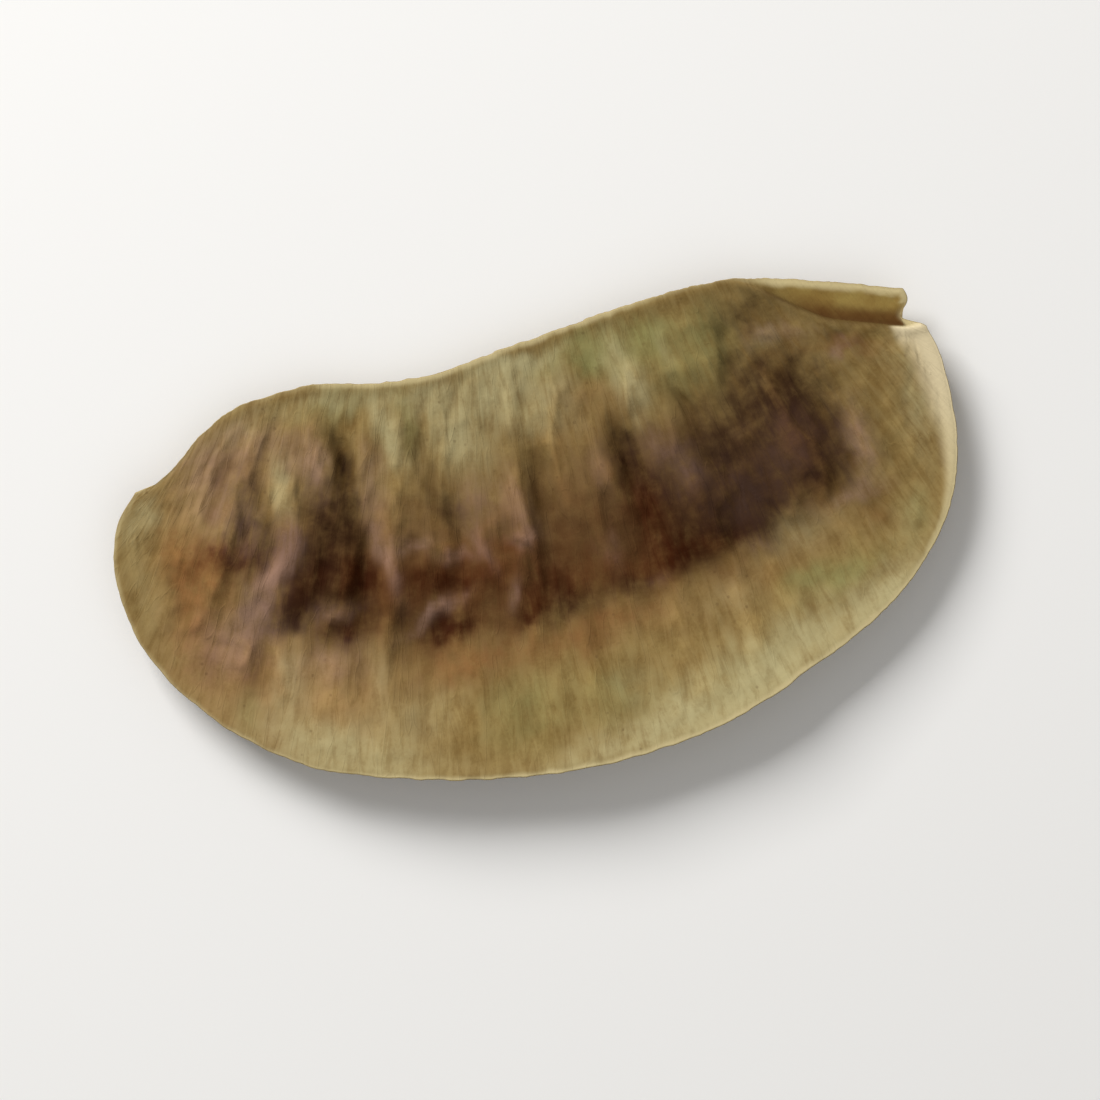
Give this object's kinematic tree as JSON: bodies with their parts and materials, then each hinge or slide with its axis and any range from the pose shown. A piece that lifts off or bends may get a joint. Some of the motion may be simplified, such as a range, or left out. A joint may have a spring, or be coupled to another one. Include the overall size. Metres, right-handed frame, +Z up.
{
  "type": "senna pod",
  "caption": "Dried flat senna pod, kidney-shaped, with a row of seed swellings, fine cross ripples, a grooved rim and a small notched beak; a natural prop to lie on a surface.",
  "frame": {"origin": "centre of the pod's bounding box in plan, at the lowest point of its lower face", "axes": "+X along the pod toward its beaked end, +Y toward its nearly straight seam, +Z up out of its upper face"},
  "size_m": [0.0446, 0.023, 0.0034],
  "materials": {
    "pod_wall": "dry, matt, papery"
  },
  "bodies": {
    "root": {"pod": "pod_wall"}
  },
  "joints": []
}
